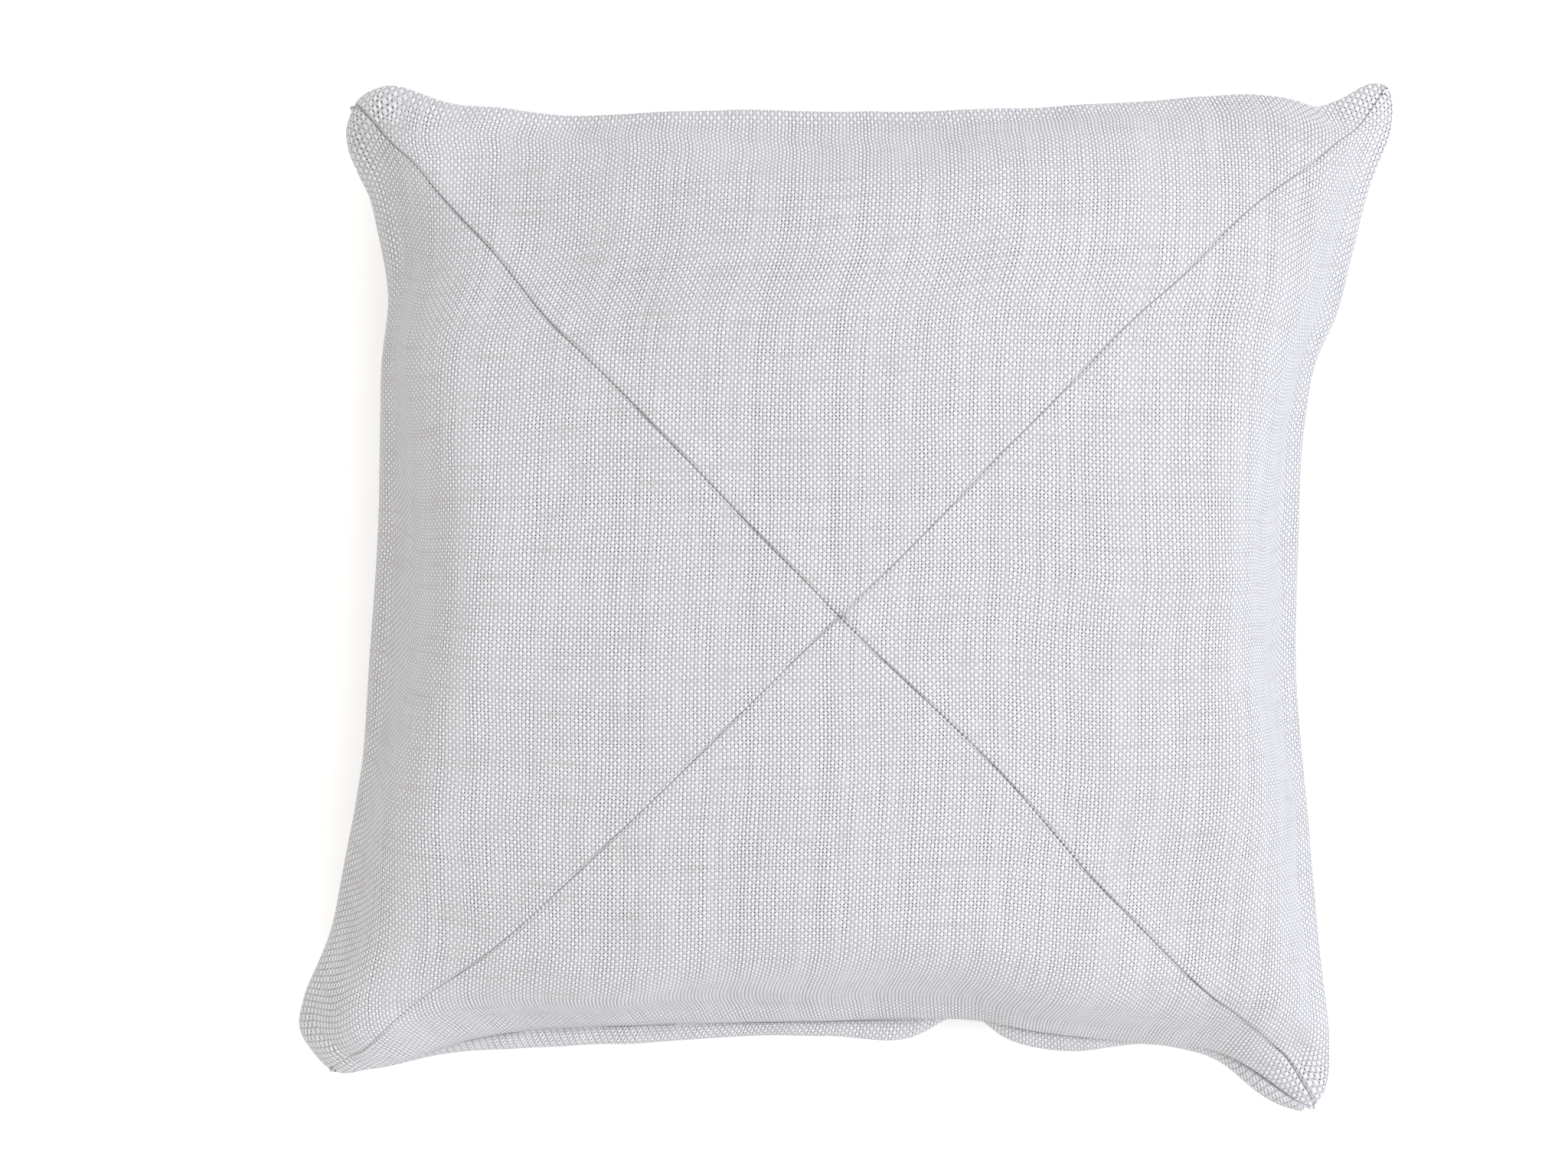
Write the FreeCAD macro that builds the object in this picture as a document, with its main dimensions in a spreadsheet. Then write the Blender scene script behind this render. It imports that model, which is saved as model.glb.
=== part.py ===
"""Square floor cushion: a mitred linen cover with a zip, a sewn inner casing and a fibre filling.

The cushion lies on its plain back, with its mitred face up. The origin is on the floor under its
middle, +Z is up, and the zip runs along X in the edge that faces +Y. Sizes are in millimetres.
"""
import FreeCAD, Part
import math
import os
import Sketcher

SIZES = [
    ("corner_half_width", 304, "from the middle of the cushion to a corner, along X and along Y"),
    ("side_pull_in", 0.09, "share by which the middle of a plain side is drawn in"),
    ("side_curve_power", 2, "how the plain sides curve out to the corners"),
    ("zip_side_pull_in", 0.109, "share by which the middle of the zip side is drawn in"),
    ("zip_side_curve_power", 8, "high, because the zip keeps its side straight"),
    ("edge_angle", 80, "angle in degrees that the domes turn through from crown to seam"),
    ("seam_height", 62, "height of the edge seam above the floor"),
    ("front_crown", 105, "height of the mitred face above the edge seam"),
    ("back_crown", 85, "depth that the back would have if the floor didn't flatten it"),
    ("fabric_thickness", 1.2, "chunky woven linen blend"),
    ("seam_gap", 1.0, "between the two layers that a seam joins"),
    ("thread_width", 0.6, "sewing thread in a seam"),
    ("corner_bulk", 14, "length at each corner where the mitre seams end in folded cloth"),
    ("casing_inset", 14, "how much smaller the casing's half width is than the cover's"),
    ("casing_clearance", 1.8, "between cover and casing at the crowns"),
    ("casing_thickness", 0.8, "non-woven casing cloth"),
    ("filling_clearance", 0.5, "between casing and filling"),
    ("zip_opening_length", 432, "gap in the edge seam that the zip closes"),
    ("zip_opening_height", 10, "between the turned edges of the mitred face and the back"),
    ("zip_plane_y", 268.9, "middle plane of the zip's chain"),
    ("chain_closed_end", 209, "from the middle of the cushion to the end where the zip closes"),
    ("chain_open_end", 185, "from the middle of the cushion to the end where the zip opens"),
    ("chain_width", 5.8, "across both coils"),
    ("chain_thickness", 1.8, "through a coil"),
    ("chain_gap", 1.1, "between the two coils, where the slider's neck runs"),
    ("tape_length", 428, "length of the zip tapes"),
    ("tape_width", 10, "width of one zip tape"),
    ("tape_thickness", 0.6, "woven tape"),
    ("tape_inset", 1.1, "from the chain's middle plane to the outer face of a tape"),
    ("tape_start", 1.2, "from the seam's height to the inner edge of a tape"),
    ("upper_tape_tilt", 29, "degrees that the upper tape leans in, along the mitred face"),
    ("lower_tape_tilt", 40, "degrees that the lower tape leans in, along the back"),
    ("stop_length", 3, "along the chain"),
    ("stop_width", 6.8, "across the chain"),
    ("stop_thickness", 3.0, "through the chain"),
    ("stop_clearance", 0.2, "from a coil's end to its stop"),
    ("slider_rest_x", 203, "where the slider stands when the zip is closed"),
    ("slider_length", 11, "along the chain"),
    ("slider_width", 8.8, "across the chain"),
    ("slider_outer_low", 1.3, "from the chain's middle plane to the outer plate"),
    ("slider_inner_high", 5.2, "from the chain's middle plane to the inner plate"),
    ("slider_plate", 1.2, "thickness of each plate"),
    ("slider_neck_length", 3.0, "along the chain"),
    ("slider_neck_width", 0.5, "across the chain"),
    ("slider_tail_chamfer", 1.4, "on the two corners of each plate at the closed end of the chain"),
    ("bridge_length", 6.8, "along the chain"),
    ("bridge_width", 2.4, "across the chain"),
    ("bridge_height", 2.8, "above the outer plate"),
    ("bridge_bar", 0.9, "thickness of the bridge above its opening"),
    ("bridge_post", 1.0, "length of each of its two posts"),
    ("pull_length", 30, "from its pivot to its end"),
    ("pull_width", 6.6, "across the tab"),
    ("pull_thickness", 1.0, "stamped sheet"),
    ("pull_bar", 1.1, "width of the bar that turns in the bridge"),
    ("pull_eye_length", 4.5, "of the eye that clears the bridge"),
    ("pull_eye_width", 3.2, "of the eye that clears the bridge"),
    ("pull_hole", 3.0, "diameter of the hole near the end of the tab"),
    ("pull_corner", 1.6, "radius of the tab's corners"),
    ("label_width", 32, "along the seam"),
    ("label_depth", 7, "from the seam into the cover"),
    ("label_thickness", 0.6, "a folded ribbon"),
    ("label_seam_distance", 2.2, "from the cover's inner face to the label"),
    ("label_y", -110, "middle of the label along the left side"),
]

GRID = 17
UP = FreeCAD.Vector(0, 0, 1)
OUTWARD = FreeCAD.Rotation(FreeCAD.Vector(1, 0, 0), -90)

doc = FreeCAD.newDocument("FloorCushion")
sheet = doc.addObject("Spreadsheet::Sheet", "Sizes")
for row, (alias, value, meaning) in enumerate(SIZES, start=1):
    sheet.set(f"A{row}", alias)
    sheet.set(f"B{row}", str(value))
    sheet.set(f"C{row}", meaning)
    sheet.setAlias(f"B{row}", alias)
doc.recompute()

nodes = []


def size(alias):
    """The number that the sheet holds under this alias."""
    return float(sheet.get(alias))


def node(item, label):
    """Name a finished piece, which is written to a file of that name."""
    item.Label = label
    nodes.append(item)
    return item


def bind(item, **formulas):
    """Bind properties to formulas in the sheet; x, y and z are the placement's."""
    for name, formula in formulas.items():
        path = f"Placement.Base.{name}" if name in "xyz" else name
        item.setExpression(path, formula)


def box(name, length, width, height, x, y, z, rotation=None):
    """A box with its sizes and its first corner as formulas."""
    item = doc.addObject("Part::Box", name)
    if rotation:
        item.Placement.Rotation = rotation
    bind(item, Length=length, Width=width, Height=height, x=x, y=y, z=z)
    return item


def boolean(kind, name, base, tool):
    """A Cut, Common or Fuse of two objects."""
    item = doc.addObject(f"Part::{kind}", name)
    item.Base = base
    item.Tool = tool
    return item


def feature(name, shape):
    """A piece whose shape is worked out from the sheet's numbers."""
    item = doc.addObject("Part::Feature", name)
    item.Shape = shape
    return item


# ---- the shape that cover, casing and filling share -------------------------------------------

def arc_share(step):
    """How far out the arc has gone, from 0 at the crown to 1 at the seam."""
    turn = math.radians(size("edge_angle"))
    return math.sin(step * turn) / math.sin(turn)


def arc_height(step):
    """The arc's height, from 1 at the crown to 0 at the seam."""
    turn = math.radians(size("edge_angle"))
    return (math.cos(step * turn) - math.cos(turn)) / (1 - math.cos(turn))


def drawn_in(along, pull_in, power):
    """The factor by which a side is drawn in, at a share of the way from its middle to a corner."""
    return 1 - pull_in * (1 - abs(along) ** power)


def dome_point(half_width, crown, base_z, step_x, step_y):
    """A point of a dome over the square with drawn-in sides."""
    across = arc_share(step_x)
    along = arc_share(step_y)
    plain = (size("side_pull_in"), size("side_curve_power"))
    zipped = (size("zip_side_pull_in"), size("zip_side_curve_power"))
    x = half_width * across * drawn_in(along, *plain)
    y = half_width * along * drawn_in(across, *(zipped if along > 0 else plain))
    z = base_z + crown * arc_height(step_x) * arc_height(step_y)
    return FreeCAD.Vector(x, y, z)


def dome_face(half_width, crown, base_z):
    """The curved face of a dome, through a grid of its points."""
    steps = [2 * i / (GRID - 1) - 1 for i in range(GRID)]
    points = [[dome_point(half_width, crown, base_z, i, j) for j in steps] for i in steps]
    surface = Part.BSplineSurface()
    surface.interpolate(points)
    return surface.toShape()


def base_face(face):
    """The flat face inside a dome's edge."""
    edges = [edge.Curve.toShape() for edge in face.Edges]
    return Part.Face(Part.Wire(Part.__sortEdges__(edges)))


def dome(half_width, crown, base_z):
    """The solid between a dome and the flat plane of its edge; a negative crown points down."""
    face = dome_face(half_width, crown, base_z)
    solid = Part.Solid(Part.Shell([face, base_face(face)]))
    if solid.Volume < 0:
        solid.reverse()
    return solid


def edge_ring(outer_half, inner_half, thickness):
    """A flat ring along the edge seam, in the plane between front and back."""
    low = size("seam_height") - thickness / 2
    outer, inner = (
        base_face(dome_face(half, size("front_crown"), low)).extrude(UP * thickness)
        for half in (outer_half, inner_half)
    )
    return outer.cut(inner)


FRONT_BASE = size("seam_height") + size("seam_gap") / 2
BACK_BASE = size("seam_height") - size("seam_gap") / 2


def above(name, item, height):
    """The part of a downward dome that the floor leaves, above a height."""
    span = "4 * Sizes.corner_half_width"
    start = "-2 * Sizes.corner_half_width"
    block = box(f"{name}Floor", span, span, span, start, start, height)
    return boolean("Common", name, item, block)


def shell_pair(name, half, inner_half, crowns, thickness, floor_height, inner_floor_height):
    """The front and back shells of a closed cloth case."""
    front_crown, back_crown = crowns
    front = boolean(
        "Cut",
        f"{name}Front",
        feature(f"{name}FrontOuter", dome(half, front_crown, FRONT_BASE)),
        feature(f"{name}FrontInner", dome(inner_half, front_crown - thickness, FRONT_BASE)),
    )
    outer = feature(f"{name}BackOuter", dome(half, -back_crown, BACK_BASE))
    inner = feature(f"{name}BackInner", dome(inner_half, thickness - back_crown, BACK_BASE))
    back = boolean(
        "Cut",
        f"{name}Back",
        above(f"{name}BackTrimmed", outer, floor_height),
        above(f"{name}BackHollow", inner, inner_floor_height),
    )
    return front, back


# ---- the cover --------------------------------------------------------------------------------

def zip_gap(name):
    """The gap in the edge seam that the zip closes."""
    return box(
        name,
        "Sizes.zip_opening_length",
        "Sizes.corner_half_width",
        "Sizes.zip_opening_height",
        "-Sizes.zip_opening_length / 2",
        "Sizes.corner_half_width / 2",
        "Sizes.seam_height - Sizes.zip_opening_height / 2",
    )


def cover():
    """Four mitred front panels, the back panel and the seams that join them."""
    half = size("corner_half_width")
    cloth = size("fabric_thickness")
    front, back = shell_pair(
        "Cover",
        half,
        half - cloth,
        (size("front_crown"), size("back_crown")),
        cloth,
        "0",
        "Sizes.fabric_thickness",
    )
    open_front = boolean("Cut", "CoverFrontOpen", front, zip_gap("FrontZipGap"))
    node(boolean("Cut", "CoverBackOpen", back, zip_gap("BackZipGap")), "back_panel")
    mitred_panels(open_front)
    mitre_seams()
    ring = feature("EdgeSeamRing", edge_ring(half, half - cloth, size("thread_width")))
    node(boolean("Cut", "EdgeSeam", ring, zip_gap("EdgeZipGap")), "edge_seam_thread")


def mitred_panels(front):
    """Cut the front along both diagonals into the four triangular panels."""
    corner = "sqrt(0.5) * Sizes.seam_gap"
    span = "3 * Sizes.corner_half_width"
    sides = ["mitred_panel_zip_side", "mitred_panel_left", "mitred_panel_front", "mitred_panel_right"]
    for quarter, label in enumerate(sides):
        facing = 90 + 90 * quarter
        wedge = box(
            f"Quarter{quarter}",
            span,
            span,
            span,
            f"{corner} * cos({facing} deg)",
            f"{corner} * sin({facing} deg)",
            "0",
            FreeCAD.Rotation(UP, facing - 45),
        )
        node(boolean("Common", f"Panel{quarter}", front, wedge), label)


def dome_line(face, direction, start, end):
    """The line in which an upright plane through the middle meets a dome, as a smooth edge."""
    points = []
    for i in range(GRID):
        spot = direction * (start + (end - start) * i / (GRID - 1))
        upright = Part.Line(spot, spot + UP)
        hits, _ = upright.intersectCS(face.Surface)
        points.append(spot + UP * hits[0].Z)
    curve = Part.BSplineCurve()
    curve.interpolate(points)
    return curve.toShape()


def seam_ribbon(outer, inner, angle, start, end):
    """The thread of one mitre seam: an upright ribbon from the inner to the outer face."""
    direction = FreeCAD.Rotation(UP, angle).multVec(FreeCAD.Vector(1, 0, 0))
    top = dome_line(outer, direction, start, end)
    bottom = dome_line(inner, direction, start, end)
    sides = [
        Part.makeLine(top.valueAt(top.FirstParameter), bottom.valueAt(bottom.FirstParameter)),
        Part.makeLine(top.valueAt(top.LastParameter), bottom.valueAt(bottom.LastParameter)),
    ]
    outline = Part.Wire(Part.__sortEdges__([top, bottom] + sides))
    across = UP.cross(direction) * size("thread_width")
    outline.translate(across * -0.5)
    solid = Part.Face(outline).extrude(across)
    if solid.Volume < 0:
        solid.reverse()
    return solid


def mitre_seams():
    """The thread of the three mitre seams: two short ones, and the long one that crosses them."""
    half = size("corner_half_width")
    cloth = size("fabric_thickness")
    outer = dome_face(half, size("front_crown"), FRONT_BASE)
    inner = dome_face(half - cloth, size("front_crown") - cloth, FRONT_BASE)
    reach = math.sqrt(2) * half - size("corner_bulk")
    for label, angle, start in (
        ("mitre_seam_long", -45, -reach),
        ("mitre_seam_short_right", 45, size("seam_gap")),
        ("mitre_seam_short_left", 225, size("seam_gap")),
    ):
        ribbon = seam_ribbon(outer, inner, angle, start, reach)
        node(feature(label.title().replace("_", ""), ribbon), label)


def care_label():
    """A blank folded ribbon, sewn into the edge seam inside the cover."""
    share = "(1 - Sizes.side_pull_in * (1 - (Sizes.label_y / Sizes.corner_half_width) ^ 2))"
    seam_x = f"(Sizes.corner_half_width - Sizes.fabric_thickness) * {share}"
    ribbon = box(
        "CareLabel",
        "Sizes.label_depth",
        "Sizes.label_width",
        "Sizes.label_thickness",
        f"Sizes.label_seam_distance - {seam_x}",
        "Sizes.label_y - Sizes.label_width / 2",
        "Sizes.seam_height - Sizes.label_thickness / 2",
    )
    node(ribbon, "care_label")


# ---- the pad inside ---------------------------------------------------------------------------

def pad():
    """The sewn inner casing and the fibre that fills it."""
    half = size("corner_half_width") - size("casing_inset")
    cloth = size("casing_thickness")
    clearance = size("fabric_thickness") + size("casing_clearance")
    crowns = (size("front_crown") - clearance, size("back_crown") - clearance)
    floor = "Sizes.fabric_thickness + Sizes.casing_clearance / 2"
    inside = f"{floor} + Sizes.casing_thickness"
    front, back = shell_pair("Casing", half, half - cloth, crowns, cloth, floor, inside)
    node(front, "inner_casing_front")
    node(back, "inner_casing_back")
    seam = edge_ring(half, half - cloth, size("thread_width"))
    node(feature("CasingSeam", seam), "inner_casing_seam_thread")

    fibre_half = half - cloth - size("filling_clearance")
    less = cloth + size("filling_clearance")
    seam_z = size("seam_height")
    upper = feature("FibreUpper", dome(fibre_half, crowns[0] - less, seam_z))
    lower = feature("FibreLower", dome(fibre_half, less - crowns[1], seam_z))
    trimmed = above("FibreLowerTrimmed", lower, f"{inside} + Sizes.filling_clearance")
    node(boolean("Fuse", "Fibre", upper, trimmed), "fibre_filling")


# ---- the zip ----------------------------------------------------------------------------------

def zip_coils():
    """The two coils of the chain, one above the seam's height and one below it."""
    for label, low in (
        ("zip_coil_upper", "Sizes.seam_height + Sizes.chain_gap / 2"),
        ("zip_coil_lower", "Sizes.seam_height - Sizes.chain_width / 2"),
    ):
        coil = box(
            f"{label}_bar",
            "Sizes.chain_open_end + Sizes.chain_closed_end",
            "Sizes.chain_thickness",
            "(Sizes.chain_width - Sizes.chain_gap) / 2",
            "-Sizes.chain_open_end",
            "Sizes.zip_plane_y - Sizes.chain_thickness / 2",
            low,
        )
        node(coil, label)


def zip_tapes():
    """The tapes that carry the coils; each leans in along the cloth that it is sewn to."""
    start_x = "-Sizes.tape_length / 2"
    face_y = "Sizes.zip_plane_y - Sizes.tape_inset"
    across = FreeCAD.Vector(1, 0, 0)
    upper = box(
        "UpperTape",
        "Sizes.tape_length",
        "Sizes.tape_thickness",
        "Sizes.tape_width",
        start_x,
        f"{face_y} - Sizes.tape_thickness * cos(Sizes.upper_tape_tilt * 1 deg)",
        "Sizes.seam_height + Sizes.tape_start",
        FreeCAD.Rotation(across, size("upper_tape_tilt")),
    )
    lower = box(
        "LowerTape",
        "Sizes.tape_length",
        "Sizes.tape_width",
        "Sizes.tape_thickness",
        start_x,
        f"{face_y} - Sizes.tape_thickness * cos(Sizes.lower_tape_tilt * 1 deg)",
        "Sizes.seam_height - Sizes.tape_start",
        FreeCAD.Rotation(across, 270 - size("lower_tape_tilt")),
    )
    node(upper, "zip_tape_upper")
    node(lower, "zip_tape_lower")


def zip_stops():
    """The stops that end the chain: the slider rests against one when closed."""
    for label, start_x in (
        ("zip_stop_closed_end", "Sizes.chain_closed_end + Sizes.stop_clearance"),
        (
            "zip_stop_open_end",
            "-Sizes.chain_open_end - Sizes.stop_clearance - Sizes.stop_length",
        ),
    ):
        stop = box(
            f"{label}_clip",
            "Sizes.stop_length",
            "Sizes.stop_thickness",
            "Sizes.stop_width",
            start_x,
            "Sizes.zip_plane_y - Sizes.chain_thickness / 2",
            "Sizes.seam_height - Sizes.stop_width / 2",
        )
        node(stop, label)


def new_body(name, label):
    """A PartDesign body, drawn with the chain along X and its outer face towards +Z."""
    body = doc.addObject("PartDesign::Body", name)
    node(body, label)
    return body


def origin_plane(body, role):
    """One of the body's own origin planes."""
    return next(item for item in body.Origin.OriginFeatures if item.Role == role)


def rectangle(body, name, low_x, high_x, half_height, offset="0"):
    """A rectangle sketch, symmetric about the X axis, on the body's XY plane or above it."""
    sketch = body.newObject("Sketcher::SketchObject", name)
    sketch.AttachmentSupport = [(origin_plane(body, "XY_Plane"), "")]
    sketch.MapMode = "FlatFace"
    sketch.setExpression("AttachmentOffset.Base.z", offset)
    corners = [FreeCAD.Vector(x, y, 0) for x, y in ((-1, -1), (1, -1), (1, 1), (-1, 1))]
    for i in range(4):
        sketch.addGeometry(Part.LineSegment(corners[i], corners[(i + 1) % 4]), False)
    for i in range(4):
        sketch.addConstraint(Sketcher.Constraint("Coincident", i, 2, (i + 1) % 4, 1))
    for i, kind in enumerate(("Horizontal", "Vertical", "Horizontal", "Vertical")):
        sketch.addConstraint(Sketcher.Constraint(kind, i))
    for label, point, kind, formula in (
        ("left", (0, 1), "DistanceX", low_x),
        ("right", (1, 1), "DistanceX", high_x),
        ("bottom", (0, 1), "DistanceY", f"-({half_height})"),
        ("top", (2, 1), "DistanceY", half_height),
    ):
        value = -1 if label in ("left", "bottom") else 1
        number = sketch.addConstraint(Sketcher.Constraint(kind, -1, 1, *point, value))
        sketch.renameConstraint(number, label)
        sketch.setExpression(f"Constraints.{label}", formula)
    return sketch


def pad_up(body, name, sketch, length):
    """Pad a sketch away from the chain."""
    solid = body.newObject("PartDesign::Pad", name)
    solid.Profile = sketch
    solid.setExpression("Length", length)
    body.Tip = solid
    return solid


def pocket_up(body, name, sketch, length):
    """Cut a pocket from a sketch away from the chain."""
    cut = body.newObject("PartDesign::Pocket", name)
    cut.Profile = sketch
    cut.Reversed = True
    cut.setExpression("Length", length)
    body.Tip = cut
    return cut


def upright_edges(shape, x):
    """Names of the edges that run along Z at one value of x."""
    names = []
    for number, edge in enumerate(shape.Edges, start=1):
        bounds = edge.BoundBox
        if bounds.XLength + bounds.YLength < 1e-6 and abs(bounds.XMin - x) < 1e-6:
            names.append(f"Edge{number}")
    return names


def slider_plate(body, name, low):
    """One plate of the slider, with its tail corners cut off."""
    half_length = "Sizes.slider_length / 2"
    outline = rectangle(
        body, f"{name}Outline", f"-{half_length}", half_length, "Sizes.slider_width / 2", low
    )
    return pad_up(body, name, outline, "Sizes.slider_plate")


def slider():
    """The slider: two plates joined by a neck, and the bridge that holds the pull."""
    body = new_body("Slider", "zip_slider")
    half_length = "Sizes.slider_length / 2"
    inner_low = "-Sizes.slider_inner_high - Sizes.slider_plate"
    outer_top = "Sizes.slider_outer_low + Sizes.slider_plate"
    slider_plate(body, "InnerPlate", inner_low)
    neck = rectangle(
        body,
        "NeckOutline",
        f"{half_length} - Sizes.slider_neck_length",
        half_length,
        "Sizes.slider_neck_width / 2",
        inner_low,
    )
    pad_up(body, "Neck", neck, f"{outer_top} - ({inner_low})")
    plate = slider_plate(body, "OuterPlate", "Sizes.slider_outer_low")
    doc.recompute()
    tail = body.newObject("PartDesign::Chamfer", "TailCorners")
    tail.Base = (plate, upright_edges(plate.Shape, -size("slider_length") / 2))
    tail.setExpression("Size", "Sizes.slider_tail_chamfer")
    half_bridge = "Sizes.bridge_length / 2"
    bridge = rectangle(
        body, "BridgeOutline", f"-{half_bridge}", half_bridge, "Sizes.bridge_width / 2", outer_top
    )
    pad_up(body, "Bridge", bridge, "Sizes.bridge_height")
    inside = f"{half_bridge} - Sizes.bridge_post"
    opening = rectangle(
        body, "BridgeOpening", f"-({inside})", inside, "Sizes.bridge_width", outer_top
    )
    pocket_up(body, "UnderBridge", opening, "Sizes.bridge_height - Sizes.bridge_bar")
    body.Placement.Rotation = OUTWARD
    bind(body, x="Sizes.slider_rest_x", y="Sizes.zip_plane_y", z="Sizes.seam_height")


def pull_tab():
    """The pull: a stamped tab whose eye goes round the bridge; its origin is on the pivot."""
    body = new_body("PullTab", "zip_pull_tab")
    low = "-Sizes.pull_thickness / 2"
    outline = rectangle(
        body, "TabOutline", "-Sizes.pull_length", "0", "Sizes.pull_width / 2", low
    )
    tab = pad_up(body, "Tab", outline, "Sizes.pull_thickness")
    doc.recompute()
    corners = body.newObject("PartDesign::Fillet", "TabCorners")
    corners.Base = (tab, upright_edges(tab.Shape, -size("pull_length")))
    corners.setExpression("Radius", "Sizes.pull_corner")
    eye = rectangle(
        body,
        "EyeOutline",
        "-Sizes.pull_eye_length",
        "Sizes.pull_bar",
        "Sizes.pull_eye_width / 2",
        low,
    )
    pocket_up(body, "Eye", eye, "Sizes.pull_thickness")
    doc.recompute()
    round_hole(body)
    pivot_bar(body)
    body.Placement.Rotation = OUTWARD
    pivot = "Sizes.slider_outer_low + Sizes.slider_plate"
    rise = "(Sizes.bridge_height - Sizes.bridge_bar) / 2"
    bind(
        body,
        x="Sizes.slider_rest_x",
        y=f"Sizes.zip_plane_y + {pivot} + {rise}",
        z="Sizes.seam_height",
    )


def circle(body, name, plane, diameter):
    """A circle sketch on one of the body's origin planes, with its centre still to be placed."""
    sketch = body.newObject("Sketcher::SketchObject", name)
    sketch.AttachmentSupport = [(origin_plane(body, plane), "")]
    sketch.MapMode = "FlatFace"
    sketch.addGeometry(Part.Circle(FreeCAD.Vector(-1, 0, 0), UP, 1), False)
    number = sketch.addConstraint(Sketcher.Constraint("Diameter", 0, 2))
    sketch.renameConstraint(number, "diameter")
    sketch.setExpression("Constraints.diameter", diameter)
    return sketch


def round_hole(body):
    """The round hole near the end of the pull."""
    sketch = circle(body, "HoleOutline", "XY_Plane", "Sizes.pull_hole")
    sketch.addConstraint(Sketcher.Constraint("PointOnObject", 0, 3, -1))
    number = sketch.addConstraint(Sketcher.Constraint("DistanceX", 0, 3, -1, 1, 1))
    sketch.renameConstraint(number, "place")
    sketch.setExpression("Constraints.place", "Sizes.pull_length - Sizes.pull_hole * 1.2")
    cut = body.newObject("PartDesign::Pocket", "Hole")
    cut.Profile = sketch
    cut.SideType = "Symmetric"
    cut.setExpression("Length", "2 * Sizes.pull_thickness")
    body.Tip = cut


def pivot_bar(body):
    """The round bar across the pull's eye, on which it turns under the bridge."""
    sketch = circle(body, "BarOutline", "XZ_Plane", "Sizes.pull_bar")
    sketch.addConstraint(Sketcher.Constraint("Coincident", 0, 3, -1, 1))
    bar = body.newObject("PartDesign::Pad", "PivotBar")
    bar.Profile = sketch
    bar.SideType = "Symmetric"
    bar.setExpression("Length", "Sizes.pull_width")
    body.Tip = bar


# ---- build, test and write --------------------------------------------------------------------

def check():
    """Stop if a feature has failed or a piece has no valid shape."""
    for item in doc.Objects:
        faults = {"Invalid", "Error"} & set(item.State)
        if faults:
            raise RuntimeError(f"{item.Name} ({item.Label}) is {sorted(faults)}")
    for item in nodes:
        shape = item.Shape
        if shape.isNull() or not shape.isValid() or not shape.Solids:
            raise RuntimeError(f"{item.Label} has no valid solid")


cover()
care_label()
pad()
zip_coils()
zip_tapes()
zip_stops()
slider()
pull_tab()
doc.recompute()
check()

os.makedirs("parts", exist_ok=True)
for item in nodes:
    item.Shape.exportStep(f"parts/{item.Label}.step")
    bounds = item.Shape.BoundBox
    print(
        f"{item.Label}: {len(item.Shape.Solids)} solid, {item.Shape.Volume / 1000:.2f} cm3,",
        f"{bounds.XLength:.1f} x {bounds.YLength:.1f} x {bounds.ZLength:.1f} mm",
    )
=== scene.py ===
"""Looks of the floor cushion: mitred linen cover, edge zip and inner pad.

The cloth is simulated from flat to full, drawn to the sides that the real cushion has, and then
sampled onto one mesh for each panel. Everything is in metres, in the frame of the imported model.
A place on the cloth is (u, v), from -1 to 1 across its flat cut along X and along Y.
"""
import math

import bpy
import numpy as np
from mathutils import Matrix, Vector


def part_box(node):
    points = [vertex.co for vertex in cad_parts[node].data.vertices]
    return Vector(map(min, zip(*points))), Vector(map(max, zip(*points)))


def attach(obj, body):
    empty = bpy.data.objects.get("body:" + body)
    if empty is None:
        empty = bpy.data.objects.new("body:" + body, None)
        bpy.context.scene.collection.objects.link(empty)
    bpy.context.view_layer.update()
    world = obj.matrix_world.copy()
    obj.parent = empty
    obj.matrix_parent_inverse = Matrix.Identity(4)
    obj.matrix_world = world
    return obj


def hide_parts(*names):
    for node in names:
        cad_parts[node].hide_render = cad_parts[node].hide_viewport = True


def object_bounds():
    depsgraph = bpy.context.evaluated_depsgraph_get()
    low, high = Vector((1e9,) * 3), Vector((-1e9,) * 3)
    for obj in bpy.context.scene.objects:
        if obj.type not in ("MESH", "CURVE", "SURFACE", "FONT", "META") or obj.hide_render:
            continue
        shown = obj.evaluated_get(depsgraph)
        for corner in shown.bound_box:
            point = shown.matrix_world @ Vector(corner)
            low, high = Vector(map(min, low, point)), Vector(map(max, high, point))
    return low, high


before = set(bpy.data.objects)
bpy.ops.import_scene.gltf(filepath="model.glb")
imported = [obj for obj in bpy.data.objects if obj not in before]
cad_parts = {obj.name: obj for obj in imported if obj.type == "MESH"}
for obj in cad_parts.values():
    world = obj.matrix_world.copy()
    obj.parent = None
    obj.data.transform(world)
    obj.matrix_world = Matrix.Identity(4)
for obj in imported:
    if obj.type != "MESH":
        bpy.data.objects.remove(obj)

CAD_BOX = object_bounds()
BODY = "cushion"

# ---- driving sizes ---------------------------

CUT_HALF = 0.305                 # half the side of the flat cover, inside its seams
CLOTH = 0.0012                   # thickness of the linen
SEAM_Z = sum(corner[2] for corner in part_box("edge_seam_thread")) / 2
CROWN_Z = CAD_BOX[1][2] - 0.001
MITRE_CENTRE = (0.001, 0.0)      # (u, v) where the mitre seams cross
FOLD_RADIUS = 0.0012             # of a cloth edge turned into a seam
SHORT_FOLD = 0.0009              # of the two short mitre seams, which are pressed flatter
EDGE_FOLD = 0.0008               # of the edge seam, which the filling pulls tight
CROSSING = 0.010                 # length over which the short seams' folds start
ALLOWANCE = 0.010                # width of the turned seam allowance
TIP_CUT = 0.004                  # how much each corner is rounded off, along X and along Y
RIDGE = 0.0025                   # how far the face stands out over the seam allowances
FRONT_SWELL = 0.006              # how far the face fills out its corners, past the seam
BACK_SWELL = 0.003               # the same for the back
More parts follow.
